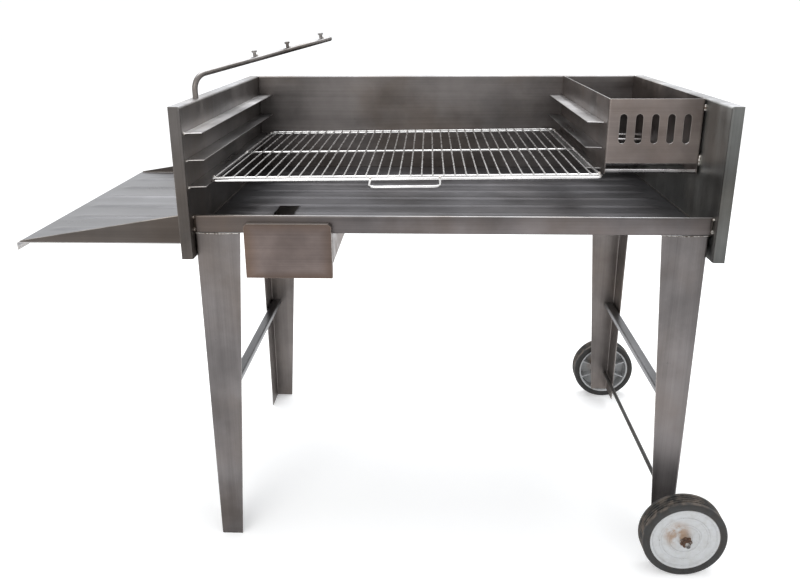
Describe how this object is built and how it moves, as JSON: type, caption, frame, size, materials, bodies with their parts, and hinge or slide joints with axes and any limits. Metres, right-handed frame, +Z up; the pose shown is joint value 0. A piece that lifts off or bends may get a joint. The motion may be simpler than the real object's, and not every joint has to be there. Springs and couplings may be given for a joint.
{
  "type": "barbecue stand",
  "caption": "Open-top charcoal barbecue stand in folded sheet steel with a sliding grid, ember box, ash drawer, side shelf, swivel utensil arm and a wheeled end.",
  "frame": {"origin": "on the ground, under the middle of the bounding box", "axes": "+Z up, -Y is the front where the grid slides out, +X towards the ember box and the wheeled end"},
  "size_m": [1.497, 0.9012, 1.1231],
  "materials": {
    "sheet_steel": "brushed mill finish, lightly stained",
    "bright_wire": "bright plated wire",
    "fastener": "dull zinc",
    "tyre_rubber": "dusty ribbed rubber",
    "wheel_white": "white paint with rust at the hub"
  },
  "bodies": {
    "stand": {"left_side_panel": "sheet_steel", "right_side_panel": "sheet_steel", "back_wall": "sheet_steel", "fire_floor": "sheet_steel", "left_ledge_lower": "sheet_steel", "left_ledge_middle": "sheet_steel", "left_ledge_upper": "sheet_steel", "ember_box_ledge_lower": "sheet_steel", "ember_box_ledge_middle": "sheet_steel", "ember_box_ledge_upper": "sheet_steel", "ember_box": "sheet_steel", "ember_bar_1": "sheet_steel", "ember_bar_2": "sheet_steel", "ember_bar_3": "sheet_steel", "ember_bar_4": "sheet_steel", "ember_bar_5": "sheet_steel", "ember_bar_6": "sheet_steel", "ember_bar_7": "sheet_steel", "left_front_leg": "sheet_steel", "left_rear_leg": "sheet_steel", "right_front_leg": "sheet_steel", "right_rear_leg": "sheet_steel", "left_stretcher": "sheet_steel", "right_stretcher": "sheet_steel", "wheel_axle": "sheet_steel", "side_shelf": "sheet_steel", "drawer_runner_left": "sheet_steel", "drawer_runner_right": "sheet_steel", "arm_socket": "sheet_steel", "front_axle_nut": "fastener", "front_axle_sleeve": "fastener", "front_wheel_washer": "fastener", "rear_axle_nut": "fastener", "rear_axle_sleeve": "fastener", "rear_wheel_washer": "fastener", "shelf_bolt_1": "fastener", "shelf_bolt_2": "fastener", "shelf_bolt_3": "fastener", "shelf_nut_1": "fastener", "shelf_nut_2": "fastener", "shelf_nut_3": "fastener"},
    "grid": {"grill_grid": "bright_wire"},
    "ash_drawer": {"ash_drawer_front": "sheet_steel", "ash_drawer_box": "sheet_steel"},
    "utensil_arm_swivel": {"utensil_arm": "sheet_steel", "arm_peg_1": "sheet_steel", "arm_peg_2": "sheet_steel", "arm_peg_3": "sheet_steel"},
    "front_wheel": {"front_tyre": "tyre_rubber", "front_wheel_disc": "wheel_white"},
    "rear_wheel": {"rear_tyre": "tyre_rubber", "rear_wheel_disc": "wheel_white"}
  },
  "joints": [
    {"name": "grid_slide", "type": "slide", "parent": "stand", "child": "grid", "axis": [0, -1, 0], "range_m": [0, 0.4]},
    {"name": "ash_drawer_slide", "type": "slide", "parent": "stand", "child": "ash_drawer", "axis": [0, -1, 0], "range_m": [0, 0.24]},
    {"name": "utensil_arm_turn", "type": "hinge", "parent": "stand", "child": "utensil_arm_swivel", "pos_m": [-0.3928, -0.1944, 1], "axis": [0, 0, 1], "continuous": true},
    {"name": "front_wheel_spin", "type": "hinge", "parent": "stand", "child": "front_wheel", "pos_m": [0.658, -0.4076, 0.0905], "axis": [0, 1, 0], "continuous": true},
    {"name": "rear_wheel_spin", "type": "hinge", "parent": "stand", "child": "rear_wheel", "pos_m": [0.658, 0.4076, 0.0905], "axis": [0, 1, 0], "continuous": true}
  ]
}
